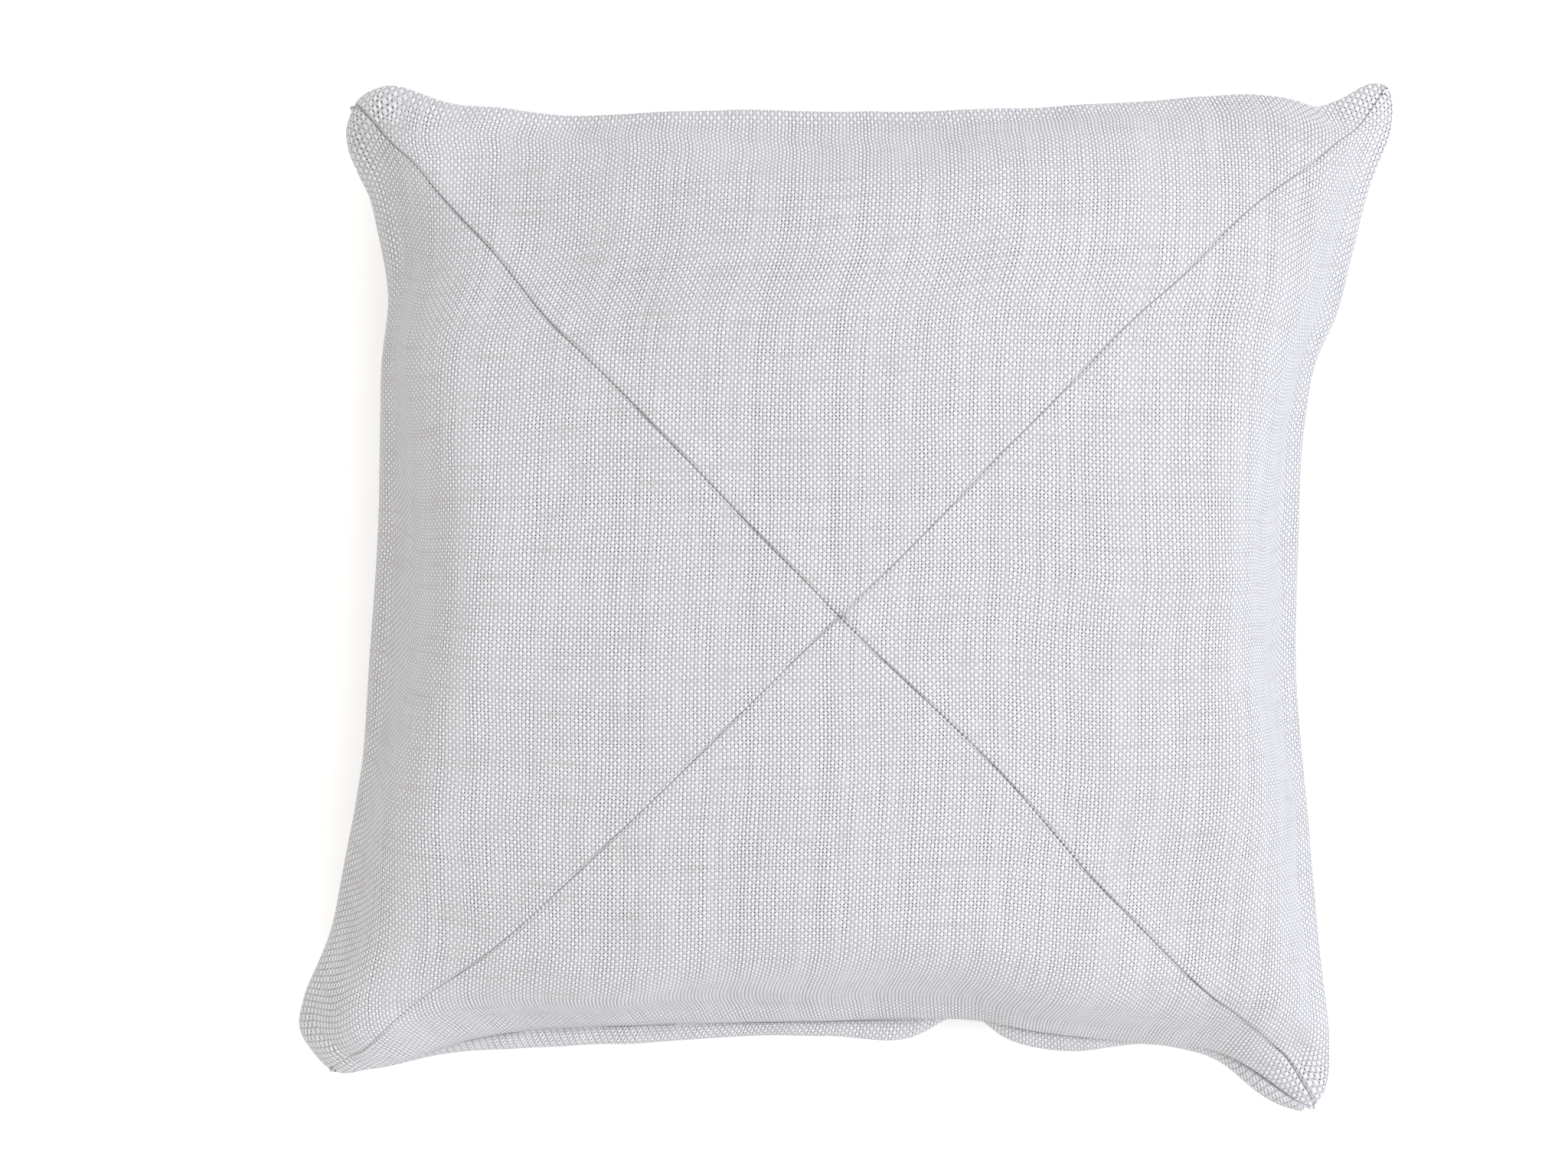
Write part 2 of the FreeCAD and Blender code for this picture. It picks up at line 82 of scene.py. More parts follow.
LIP_WIDTH = 0.022                # of the back cloth that shows past the open side's seam
LIP_RISE = 0.007                 # how much that lip curls up
FLOOR_BLEND = 0.006              # how softly the back meets the floor

WARP_PITCH = 0.00206             # between warp yarns, which run along Y
WEFT_PITCH = 0.00193             # between weft yarns, which run along X

ZIP_HALF = 0.216                 # half the length of the zip's opening
ZIP_GAP = 0.0056                 # from the seam's height to each turned edge of the opening

SIM_CELLS = 72                   # along each side of the simulated sheets
SIM_FRAMES = 24
SIM_VOLUME = 0.0335              # that the simulation fills the bag to, in cubic metres
UNEVENNESS = 0.2                 # share of the simulation's chance waves that stays
RELAX_ROUNDS = 8


# ---- small helpers ---------------------------

def smooth(low, high, x):
    """A smooth step from 0 at low to 1 at high."""
    t = np.clip((np.asarray(x, float) - low) / (high - low), 0, 1)
    return t * t * (3 - 2 * t)


def curve_through(stations, x):
    """A smooth curve through (place, value) stations, read at x."""
    places, values = np.array(stations, float).T
    slopes = np.gradient(values, places)
    x = np.clip(x, places[0], places[-1])
    k = np.clip(np.searchsorted(places, x, side="right") - 1, 0, len(places) - 2)
    span = places[k + 1] - places[k]
    t = (x - places[k]) / span
    rise = values[k + 1] - values[k]
    cubic = (slopes[k] * span - rise) * (1 - t) + (rise - slopes[k + 1] * span) * t
    return values[k] + rise * t + t * (1 - t) * cubic


def new_object(name, points, faces):
    """A smooth-shaded mesh object in the scene."""
    mesh = bpy.data.meshes.new(name)
    mesh.from_pydata([tuple(p) for p in points], [], [tuple(int(i) for i in f) for f in faces])
    mesh.update()
    mesh.shade_smooth()
    piece = bpy.data.objects.new(name, mesh)
    bpy.context.scene.collection.objects.link(piece)
    return piece


def apply_modifiers(piece):
    """Replace a piece's mesh by what its modifiers make of it."""
    evaluated = piece.evaluated_get(bpy.context.evaluated_depsgraph_get())
    mesh = bpy.data.meshes.new_from_object(evaluated)
    piece.modifiers.clear()
    piece.data = mesh


# ---- the inflated cloth ----------------------

def joined_faces(numbers, below):
    """Faces of two square sheets, each given as a grid of point numbers."""
    faces = []
    for i in range(len(numbers) - 1):
        for j in range(len(numbers) - 1):
            a, b, c, d = (i, j), (i + 1, j), (i + 1, j + 1), (i, j + 1)
            faces.append([numbers[a], numbers[b], numbers[c], numbers[d]])
            faces.append([below[a], below[d], below[c], below[b]])
    return faces


def flat_bag(cells):
    """Two flat squares joined round their edge: points, faces, and each sheet's point numbers."""
    line = np.linspace(-1, 1, cells + 1)
    u, v = np.meshgrid(line, line, indexing="ij")
    start = 0.03 * np.cos(u * math.pi / 2) * np.cos(v * math.pi / 2)
    front = np.stack([u * CUT_HALF, v * CUT_HALF, start], -1)
    numbers = np.arange(u.size).reshape(u.shape)
    inner = np.zeros(u.shape, bool)
    inner[1:-1, 1:-1] = True
    below = numbers.copy()
    below[inner] = u.size + np.arange(inner.sum())
    points = np.concatenate([front.reshape(-1, 3), (front * (1, 1, -1))[inner]])
    return points, joined_faces(numbers, below), numbers, below


def inflate():
    """The front and back sheets of the bag, filled by cloth simulation, as grids of points."""
    points, faces, numbers, below = flat_bag(SIM_CELLS)
    bag = new_object("bag", points, faces)
    cloth = bag.modifiers.new("Cloth", "CLOTH")
    settings = cloth.settings
    settings.quality = 6
    settings.mass = 0.3
    settings.tension_stiffness = 60
    settings.compression_stiffness = 60
    settings.shear_stiffness = 20
    settings.bending_stiffness = 8
    settings.tension_damping = 10
    settings.compression_damping = 10
    settings.shear_damping = 10
    settings.bending_damping = 2
    settings.air_damping = 3
    settings.use_pressure = True
    settings.uniform_pressure_force = 0
    settings.use_pressure_volume = True
    settings.target_volume = SIM_VOLUME
    settings.pressure_factor = 4
    settings.effector_weights.gravity = 0
    cloth.collision_settings.use_collision = False
    cloth.point_cache.frame_start = 1
    cloth.point_cache.frame_end = SIM_FRAMES
    scene = bpy.context.scene
    for frame_number in range(1, SIM_FRAMES + 1):
        scene.frame_set(frame_number)
    evaluated = bag.evaluated_get(bpy.context.evaluated_depsgraph_get())
    places = np.empty(len(evaluated.data.vertices) * 3)
    evaluated.data.vertices.foreach_get("co", places)
    places = places.reshape(-1, 3)
    scene.frame_set(1)
    bpy.data.objects.remove(bag)
    return places[numbers], places[below]


def relax(sheet, rounds):
    """Smooth a sheet's inside a little and leave its edge."""
    sheet = sheet.copy()
    for _ in range(rounds):
        around = sheet[:-2, 1:-1] + sheet[2:, 1:-1] + sheet[1:-1, :-2] + sheet[1:-1, 2:]
        sheet[1:-1, 1:-1] += 0.5 * (around / 4 - sheet[1:-1, 1:-1])
    return sheet


def sample(grid, u, v):
    """Read a grid of points at (u, v) with a smooth cubic."""
    cells = grid.shape[0] - 1
    padded = np.pad(grid, ((1, 1), (1, 1), (0, 0)), mode="reflect", reflect_type="odd")
    total = 0
    parts = []
    for a in (u, v):
        at = (np.clip(a, -1, 1) + 1) / 2 * cells
        k = np.minimum(at.astype(int), cells - 1)
        t = at - k
        weights = (
            -0.5 * t + t ** 2 - 0.5 * t ** 3,
            1 - 2.5 * t ** 2 + 1.5 * t ** 3,
            0.5 * t + 2 * t ** 2 - 1.5 * t ** 3,
            -0.5 * t ** 2 + 0.5 * t ** 3,
        )
        parts.append((k, weights))
    (ku, wu), (kv, wv) = parts
    for i in range(4):
        for j in range(4):
            total = total + (wu[i] * wv[j])[..., None] * padded[ku + i, kv + j]
    return total


def even_out(sheet, keep):
    """The mean of a sheet and its seven mirror images, with a share of its own unevenness."""
    mean = (sheet + sheet[::-1] * (-1, 1, 1)) / 2
    mean = (mean + mean[:, ::-1] * (1, -1, 1)) / 2
    mean = (mean + mean.swapaxes(0, 1)[..., [1, 0, 2]]) / 2
    return mean + keep * (sheet - mean)


FRONT, BACK = inflate()
FRONT, BACK = (relax(even_out(sheet, UNEVENNESS), RELAX_ROUNDS) for sheet in (FRONT, BACK))

# ---- the cushion's own shape -----------------

# Corners of the edge seam: left and right, on the open side (-Y) and on the zip side (+Y).
CORNERS = {
    (-1, -1): (-0.296, -0.296),
    (1, -1): (0.283, -0.320),
    (-1, 1): (-0.289, 0.273),
    (1, 1): (0.326, 0.285),
}

# How far out each side's seam lies, as (place along the side from -1 to 1, metres).
LEFT_SIDE = (
    (-1, -0.296), (-0.968, -0.304), (-0.90, -0.3148), (-0.84, -0.3143), (-0.775, -0.308),
    (-0.71, -0.301), (-0.585, -0.2935), (-0.39, -0.283), (-0.136, -0.2775), (0.12, -0.2725),
    (0.44, -0.2703), (0.633, -0.2666), (0.76, -0.273), (0.825, -0.2775), (0.89, -0.286),
    (0.95, -0.2885), (1, -0.289),
)
RIGHT_SIDE = (
    (-1, 0.283), (-0.93, 0.288), (-0.86, 0.2907), (-0.62, 0.2857), (-0.37, 0.279),
    (-0.13, 0.2735), (0.12, 0.275), (0.36, 0.279), (0.485, 0.2866), (0.55, 0.296),
    (0.67, 0.306), (0.79, 0.3148), (0.85, 0.320), (0.91, 0.3265), (1, 0.326),
)
OPEN_SIDE = (
    (-1, -0.296), (-0.93, -0.2915), (-0.86, -0.288), (-0.72, -0.277), (-0.44, -0.2685),
    (-0.315, -0.268), (0.05, -0.266), (0.185, -0.265), (0.28, -0.265), (0.467, -0.2735),
    (0.653, -0.2795), (0.717, -0.281), (0.78, -0.282), (0.873, -0.2926), (0.94, -0.309),
    (0.97, -0.316), (1, -0.320),
)
ZIP_SIDE = (
    (-1, 0.273), (-0.97, 0.282), (-0.935, 0.286), (-0.877, 0.284), (-0.819, 0.279),
    (-0.76, 0.2765), (-0.70, 0.275), (-0.64, 0.272), (-0.2, 0.272), (0.2, 0.272), (0.6, 0.272),
    (0.78, 0.272), (0.84, 0.2705), (0.90, 0.278), (0.96, 0.289), (1, 0.285),
)

# Each side under the axis that it runs along, and its end of the other axis.
SIDES = {("x", -1): OPEN_SIDE, ("x", 1): ZIP_SIDE, ("y", -1): LEFT_SIDE, ("y", 1): RIGHT_SIDE}

# How far the face bulges past the zip side's seam, which hides the zip from above.
ZIP_BULGE = (
    (-1, 0), (-0.7, 0.002), (-0.3, 0.006), (0, 0.004), (0.5, 0.009), (0.78, 0.014),
    (0.83, 0.011), (0.87, 0.003), (0.92, 0), (1, 0),
)

# Width of the lip of back cloth past the open side's seam, as a share of its full width.
OPEN_LIP = (
    (-1, 0.7), (-0.85, 0.9), (-0.7, 1), (-0.3, 1), (0, 1), (0.20, 1), (0.25, 0.6), (0.29, 0.3),
    (0.36, 0.8), (0.5, 0.9), (0.68, 0.6), (0.8, 1.0), (0.88, 1.4), (0.94, 1.15), (1, 0.7),
)

# How far the face has slid over its filling towards the open side, as a share of CUT_HALF:
# the whole face, then hills of more or less slide: (u, v, reach, share).
SLIDE = 0.088
SLIDE_HILLS = (
    (-0.70, -0.80, 0.40, 0.040),
    (0.75, 0.75, 0.40, -0.110),
    (-0.45, 0.45, 0.30, -0.025),
    (0.80, -0.80, 0.30, 0.030),
)

# Small moves of the face: (u, v, reach along u, reach along v, metres along X, Y and Z).
NUDGES = (
    (-0.88, 0.88, 0.08, 0.08, 0.001, -0.005, 0),
    (0.88, 0.88, 0.05, 0.05, 0, 0.0045, 0),
    (-0.90, -0.90, 0.11, 0.11, 0, -0.008, 0),
    (0.83, -0.83, 0.05, 0.05, 0, -0.0015, 0),
    (0.94, -0.94, 0.05, 0.05, 0, 0.011, 0),
    (0.80, 0.62, 0.07, 0.10, 0, 0, -0.004),
    (-0.72, 0.10, 0.14, 0.30, 0, 0, 0.0025),
    (-0.55, -0.62, 0.16, 0.10, 0, 0, 0.0025),
    (0.35, -0.86, 0.16, 0.06, 0, 0, -0.003),
    (-0.70, -0.84, 0.12, 0.05, 0, 0, -0.003),
    (0.86, -0.30, 0.05, 0.20, 0, 0, -0.0025),
)

# How much the pad fills out each corner's face, at a hill a few centimetres in from the tip.
CORNER_FILL = {(-1, 1): 0.016, (1, 1): 0.008, (-1, -1): 0.010, (1, -1): 0.012}

# Corners whose tips droop: (distance from the tip where it starts, radius, angle).
DROOPS = {
    (-1, 1): (0.022, 0.028, 0.7),
    (-1, -1): (0.014, 0.020, 0.6),
    (1, -1): (0.018, 0.018, 0.8),
}


def seam_shift(along, side, end):
    """The sideways move of one side's seam, from where the simulation left it to its place."""
    axis = 0 if side == "x" else 1
    fixed = np.full_like(along, end)

    def reached(share):
        """The simulated seam at shares of the way along this side."""
        return sample(FRONT, share, fixed) if axis == 0 else sample(FRONT, fixed, share)

    def corner(other):
        """The cushion's corner at one end of this side."""
        return CORNERS[(other, end)] if axis == 0 else CORNERS[(end, other)]

    seam = reached(along)[..., :2]
    first = reached(np.full_like(along, -1))[..., axis]
    last = reached(np.full_like(along, 1))[..., axis]
    t = (seam[..., axis] - first) / (last - first)
    length = corner(-1)[axis] + (corner(1)[axis] - corner(-1)[axis]) * t
    out = curve_through(SIDES[(side, end)], 2 * t - 1)
    wanted = (length, out) if axis == 0 else (out, length)
    return np.stack(wanted, -1) - seam


def outline_shift(u, v):
    """The sideways move that takes the simulated outline to the cushion's own."""
    shift = np.zeros(u.shape + (2,))
    for end in (-1, 1):
        shift += ((1 + end * v) / 2)[..., None] * seam_shift(u, "x", end)
        shift += ((1 + end * u) / 2)[..., None] * seam_shift(v, "y", end)
    for (a, b), corner in CORNERS.items():
        weight = (1 + a * u) / 2 * (1 + b * v) / 2
        left_at = sample(FRONT, np.full_like(u, a), np.full_like(u, b))[..., :2]
        shift -= weight[..., None] * (np.array(corner) - left_at)
    return shift


def plump(points, u, v, back):
    """Fill the corners out a little: a fibre pad is pushed well into them."""
    for (a, b), amount in CORNER_FILL.items():
        reach = np.hypot(1 - a * u, 1 - b * v) * CUT_HALF
        hill = np.exp(-((reach - 0.055) / 0.035) ** 2) * np.minimum(1, reach / 0.05)
        inside = smooth(0, 0.02, CUT_HALF * (1 - np.maximum(abs(u), abs(v))))
        points[..., 2] += (-0.6 if back else 1) * amount * hill * inside
    return points


def nudge(points, u, v):
    """Apply the small moves, which fade out towards the seams."""
    inside = smooth(0, 0.03, CUT_HALF * (1 - np.maximum(abs(u), abs(v))))
    for at_u, at_v, reach_u, reach_v, *move in NUDGES:
        hill = np.exp(-((u - at_u) / reach_u) ** 2 - ((v - at_v) / reach_v) ** 2)
        points += (hill * inside)[..., None] * np.array(move)
    return points


def edge_profile(points, u, v, back):
    """The ridge over the seam allowances, the swollen corners, the lip and the zip's opening."""
    from_sides = CUT_HALF * (1 - abs(u))
    from_ends = CUT_HALF * (1 - abs(v))
    inside = smooth(0, 0.006, np.minimum(from_sides, from_ends))
    corner = smooth(0.72, 0.95, abs(u * v))
    for axis, d, sign in ((0, from_sides, np.sign(u)), (1, from_ends, np.sign(v))):
        swell = (BACK_SWELL if back else FRONT_SWELL) * corner * (1 - smooth(0.012, 0.045, d))
        ridge = (0 if back else RIDGE) * (1 - smooth(0.007, 0.02, d))
        points[..., axis] += sign * inside * (swell + ridge)
    d = CUT_HALF * (1 + v)
    if back:
        lip = curve_through(OPEN_LIP, u) * smooth(0, 0.014, from_sides)
        points[..., 1] -= LIP_WIDTH * lip * smooth(0, 0.020, d) * (1 - smooth(0.022, 0.09, d))
        points[..., 2] += LIP_RISE * lip * smooth(0, 0.010, d) * (1 - smooth(0.030, 0.08, d))
    d = CUT_HALF * (1 - v)
    if not back:
        bulge = curve_through(ZIP_BULGE, u) * smooth(0, 0.010, d) * (1 - smooth(0.014, 0.07, d))
        points[..., 1] += bulge
    opening = 1 - smooth(ZIP_HALF - 0.006, ZIP_HALF + 0.004, abs(points[..., 0]))
    gap = ZIP_GAP * opening * (1 - smooth(0, 0.03, d))
    points[..., 2] += -gap if back else gap
    return points


def bend_corner(points, corner, start, radius, angle):
    """Bend the tip of a corner down, from a distance start to where its seam ends."""
    tip = np.array(CORNERS[corner])
    away = np.array(corner) / math.sqrt(2)
    s = (points[..., :2] - tip) @ away + start
    height = points[..., 2] - SEAM_Z
    turn = np.clip(s, 0, radius * angle) / radius
    rest = np.clip(s - radius * angle, 0, None)
    arm = radius + height
    along = arm * np.sin(turn) + rest * np.cos(turn)
    drop = arm * np.cos(turn) - rest * np.sin(turn) - radius
    bent = points.copy()
    inside = s > 0
    move = (along - s)[..., None] * away
    bent[..., :2] += np.where(inside[..., None], move, 0)
    bent[..., 2] = np.where(inside, SEAM_Z + drop, points[..., 2])
    return bent


def place(u, v, back=False):
    """Where a place on the flat cut lies on the finished cushion."""
    points = sample(BACK if back else FRONT, u, v)
    reach = np.maximum(np.maximum(abs(u), abs(v)), 0.001)
    wave = sample(FRONT, u / reach, v / reach)[..., 2] * reach ** 4
    height = points[..., 2] - wave
    points[..., :2] += outline_shift(u, v)
    rise = 1 if back else (CROWN_Z - SEAM_Z) / FRONT[..., 2].max()
    points[..., 2] = SEAM_Z + height * rise
    points = plump(points, u, v, back)
    if not back:
        points = nudge(points, u, v)
    points = edge_profile(points, u, v, back)
    tip = TIP_CUT * ((1 + abs(u)) / 2 * (1 + abs(v)) / 2) ** 60
    points[..., 0] -= np.sign(u) * tip
    points[..., 1] -= np.sign(v) * tip
    for corner, bend in DROOPS.items():
        points = bend_corner(points, corner, *bend)
    if back:
        z = points[..., 2]
        points[..., 2] = (z + np.sqrt(z ** 2 + FLOOR_BLEND ** 2)) / 2
    return points


def slid(u, v):
    """Where a place of the face lies, on the square of an even face, after the slide."""
    share = np.full_like(v, SLIDE)
    for at_u, at_v, reach, amount in SLIDE_HILLS:
        share += amount * np.exp(-((u - at_u) ** 2 + (v - at_v) ** 2) / reach ** 2)
    return v - share * (1 - u ** 8) * (1 - v ** 8)


def normals(u, v, back=False):
    """Outward unit normals of the finished cloth."""
    step = 0.002
    inner_u = np.clip(u, -1 + step, 1 - step)
    inner_v = np.clip(v, -1 + step, 1 - step)
    along_u = place(inner_u + step, inner_v, back) - place(inner_u - step, inner_v, back)
    along_v = place(inner_u, inner_v + step, back) - place(inner_u, inner_v - step, back)
    out = np.cross(along_u, along_v)
    out /= np.linalg.norm(out, axis=-1, keepdims=True) + 1e-12
    return -out if back else out


def level(out):
    """Normals turned level, so that both cloths of the edge seam turn in side by side."""
    flat = out * (1, 1, 0)
    return flat / (np.linalg.norm(flat, axis=-1, keepdims=True) + 1e-9)


def fold(d, radius=FOLD_RADIUS):
    """How far a cloth's surface drops where it rolls into a seam, at a distance from it."""
    near = radius - np.clip(d, 0, radius)
    return radius - np.sqrt(radius ** 2 - near ** 2)


def grid_faces(rows, columns, flip=False):
    """Faces of a grid of points, row by row."""
    faces = []
    for i in range(rows - 1):
        for j in range(columns - 1):
            a = i * columns + j
            face = [a, a + 1, a + columns + 1, a + columns]
            faces.append(face[::-1] if flip else face)
    return faces


def spread(count, power):
    """Shares from 0 to 1, close together near 0."""
    return np.linspace(0, 1, count + 1) ** power


def both_ends(half):
    """Places from -1 to 1, spaced the same way from both ends."""
    return np.concatenate([half - 1, (1 - half[:-1])[::-1]])


def store_flat(piece, flat):
    """Keep each point's place on the flat cut, in metres, as the UV map that the weave follows."""
    layer = piece.data.uv_layers.new(name="cloth")
    loops = np.empty(len(piece.data.loops), int)
    piece.data.loops.foreach_get("vertex_index", loops)
    layer.data.foreach_set("uv", flat[loops].reshape(-1))


def thicken(piece, thickness=CLOTH):
    """Give a sheet its thickness, inwards from its outer face."""
    solid = piece.modifiers.new("Thickness", "SOLIDIFY")
    solid.thickness = thickness
    solid.offset = -1
    apply_modifiers(piece)


MARGINS = np.array([0.0007, 0.0018, 0.0035])     # depths of the turned-in edge's rows
ALLOWANCE_RISE = 0.0007                          # how much a pressed allowance lifts the cloth
PUCKER = 0.35                                    # share of that rise that comes and goes
PUCKER_LENGTH = 0.0041                           # of one pucker, divided by two pi
BACK_WEAVE_SHIFT = (0.0009, 0.0013)


def with_margins(values, both=False):
    """Grid lines with the turned-in edge's rows added at the end, or at both ends."""
    lines = np.concatenate([values, np.full(len(MARGINS), values[-1])])
    depths = np.concatenate([np.zeros(len(values)), MARGINS])
    if both:
        lines = np.concatenate([np.full(len(MARGINS), values[0]), lines])
        depths = np.concatenate([MARGINS[::-1], depths])
    return lines, depths


def front_panel(name, start, end, raised, weave_shift):
    """One triangular panel, from the mitre's crossing out to the side from start to end."""
    # The rows close up towards the side, and the first one keeps just off the crossing.
    rows, row_depth = with_margins(1 - spread(76, 1.45)[::-1] * 0.999)
    columns, column_depth = with_margins(both_ends(spread(52, 1.7)), True)
    r, w = np.meshgrid(rows, columns, indexing="ij")
    centre = np.array(MITRE_CENTRE)
    base = (1 - w)[..., None] / 2 * np.array(start) + (1 + w)[..., None] / 2 * np.array(end)
    flat = (1 - r)[..., None] * centre + r[..., None] * base
    u, v = flat[..., 0], slid(flat[..., 0], flat[..., 1])
    off = (flat - centre) * CUT_HALF
    from_centre = np.linalg.norm(flat - centre, axis=-1) * CUT_HALF
    distances = []
    drops = []
    for corner in (start, end):
        line = np.array(corner) - centre
        line = line / np.linalg.norm(line)
        distances.append(abs(off[..., 0] * line[1] - off[..., 1] * line[0]))
        short = corner[0] * corner[1] > 0
        radius = SHORT_FOLD * smooth(0, CROSSING, from_centre) if short else FOLD_RADIUS
        drops.append(fold(distances[-1], radius))
    outer = CUT_HALF * (1 - np.maximum(abs(u), abs(v)))
    drop = np.maximum.reduce(drops + [fold(outer, EDGE_FOLD)])
    pucker = 1 + PUCKER * np.sin(np.hypot(u, v) * CUT_HALF / PUCKER_LENGTH)
    rise = 0
    for d, amount in zip(distances, raised):
        plateau = smooth(0, 0.0015, d) * (1 - smooth(0.7 * ALLOWANCE, 1.3 * ALLOWANCE, d))
        rise = rise + amount * ALLOWANCE_RISE * plateau * pucker
    out = normals(u, v)
    points = place(u, v) + out * (rise - drop - column_depth[None, :])[..., None]
    points -= level(out) * row_depth[:, None, None]
    piece = new_object(name, points.reshape(-1, 3), grid_faces(len(rows), len(columns)))
    store_flat(piece, (flat * CUT_HALF + weave_shift).reshape(-1, 2))
    return piece


def back_panel(name):
    """The plain back, out to all four sides."""
    lines, line_depth = with_margins(both_ends(spread(62, 1.5)), True)
    u, v = np.meshgrid(lines, lines, indexing="ij")
    depth = line_depth[:, None] + line_depth[None, :]
    outer = CUT_HALF * (1 - np.maximum(abs(u), abs(v)))
    out = normals(u, v, back=True)
    points = place(u, v, back=True) - out * fold(outer, EDGE_FOLD)[..., None]
    points -= level(out) * depth[..., None]
    faces = grid_faces(len(lines), len(lines))
    piece = new_object(name, points.reshape(-1, 3), faces)
    flat = np.stack([u, v], -1) * CUT_HALF + BACK_WEAVE_SHIFT
    store_flat(piece, flat.reshape(-1, 2))
    return piece


# ---- threads ---------------------------------

MITRE_STITCH = 0.0028            # length of one stitch, here and in the next two
EDGE_STITCH = 0.0032
CASING_STITCH = 0.006
STITCH_GAP = 0.06                # share of that length left free at each end of a stitch
MITRE_START = 0.02               # where the short seams' stitches start, off the crossing
MITRE_END = 0.955                # where all the mitre stitches stop, short of the corners
EDGE_DEPTH = 0.002               # from the edge seam's outline in to its stitches


def thread_run(name, path, out, stitch, radius):
    """A row of stitches along a path: short threads that dip into the cloth at their ends."""
    lengths = np.linalg.norm(np.diff(path, axis=0), axis=1)
    along = np.concatenate([[0], np.cumsum(lengths)])
    count = int(along[-1] / stitch)
    rings, sides = 5, 6
    points, faces = [], []
    turn = np.arange(sides) / sides * 2 * math.pi
    for k in range(count):
        steps = STITCH_GAP + (1 - 2 * STITCH_GAP) * np.linspace(0, 1, rings)
        stations = (k + steps) * along[-1] / count
        centres = np.stack([np.interp(stations, along, path[:, i]) for i in range(3)], -1)
        ups = np.stack([np.interp(stations, along, out[:, i]) for i in range(3)], -1)
        run = centres[-1] - centres[0]
        run = run / np.linalg.norm(run)
        arch = np.sin(np.linspace(0, 1, rings) * math.pi)
        for centre, up, bow in zip(centres, ups, arch):
            up = up / np.linalg.norm(up)
            side = np.cross(run, up)
            size = radius * (0.45 + 0.55 * bow)
            middle = centre + up * (radius * (bow - 0.6))
            for angle in turn:
                points.append(middle + size * (math.cos(angle) * side + math.sin(angle) * up))
        first = k * rings * sides
        for i in range(rings - 1):
            for j in range(sides):
                a = first + i * sides + j
                b = first + i * sides + (j + 1) % sides
                faces.append([a, a + sides, b + sides, b])
        faces.append([first + j for j in range(sides)])
        faces.append([first + (rings - 1) * sides + j for j in reversed(range(sides))])
    return new_object(name, points, faces)


def mitre_thread(name, radius, *stations):
    """The thread that shows in the groove of a mitre seam, through places on the flat cut."""
    t = np.linspace(0, len(stations) - 1, 300)
    flat = np.stack([np.interp(t, range(len(stations)), axis) for axis in zip(*stations)], -1)
    u, v = flat[:, 0], slid(flat[:, 0], flat[:, 1])
    out = normals(u, v)
    return thread_run(name, place(u, v) - out * FOLD_RADIUS, out, MITRE_STITCH, radius)


def outline(count):
    """Places round the edge of the flat cut, from the middle of the zip's side back to it."""
    t = np.linspace(0, 8, count)
    corners = [(0, 1), (1, 1), (1, 0), (1, -1), (0, -1), (-1, -1), (-1, 0), (-1, 1), (0, 1)]
    u = np.interp(t, range(9), [c[0] for c in corners])
    v = np.interp(t, range(9), [c[1] for c in corners])
    return u, v


def edge_thread():
    """The stitches of the edge seam, from one end of the zip round to the other.

    They cut across each corner's tip, inside the cover.
    """
    u, v = outline(1600)
    path = place(u, v)
    out = level(normals(u, v))
    closed = ~((v > 0.999) & (abs(path[:, 0]) < ZIP_HALF)) & (abs(u * v) < 0.9)
    path = path[closed] - out[closed] * EDGE_DEPTH
    return thread_run("edge_seam_stitches", path, out[closed], EDGE_STITCH, 0.0003)


# ---- the pad inside --------------------------

PAD_CELLS = 56                   # along each side of the pad's sheets
CASING_SHARE = 0.94              # of the cover's flat cut that the casing reaches
FIBRE_SHARE = CASING_SHARE - 0.015
CASING_DEPTH = 0.0035            # from the cover's outer face to the casing
FIBRE_DEPTH = 0.0055             # from the cover's outer face to the fibre
NEAR_ZIP = 0.002                 # how much less than that depth the pad keeps from the slider


def behind_zip(points, room):
    """Keep the pad behind the zip's slider, all along the zip, with some room to spare."""
    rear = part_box("zip_slider")[0][1] - room
    past_the_zip = 0.03 * smooth(ZIP_HALF, ZIP_HALF + 0.04, abs(points[..., 0]))
    points[..., 1] = np.minimum(points[..., 1], rear + past_the_zip)
    return points


def inner_sheet(share, depth, back, tufts=0.0):
    """A grid of points that lies inside the cover, drawn in to its own edge seam."""
    line = np.linspace(-1, 1, PAD_CELLS + 1)
    u, v = np.meshgrid(line, line, indexing="ij")
    us, vs = u * share, v * share
    top = place(us, vs) - normals(us, vs) * depth
    bottom = place(us, vs, True) - normals(us, vs, True) * depth
    seam = top.copy()
    seam[..., 2] = (top[..., 2] + bottom[..., 2]) / 2
    to_seam = smooth(0.9, 1, np.maximum(abs(u), abs(v)))[..., None]
    points = (bottom if back else top) * (1 - to_seam) + seam * to_seam
    if tufts:
        lumps = np.sin(37 * u + 3 * np.sin(11 * v)) * np.sin(41 * v + 3 * np.sin(13 * u))
        points -= normals(us, vs, back) * (tufts * (1 + lumps) / 2)[..., None]
    return behind_zip(points, depth - NEAR_ZIP)


def casing_side(name, back):
    """The front or the back of the inner casing, a thin sheet."""
    points = inner_sheet(CASING_SHARE, CASING_DEPTH, back)
    count = points.shape[0]
    piece = new_object(name, points.reshape(-1, 3), grid_faces(count, count, flip=not back))
    thicken(piece, 0.0004)
    return piece


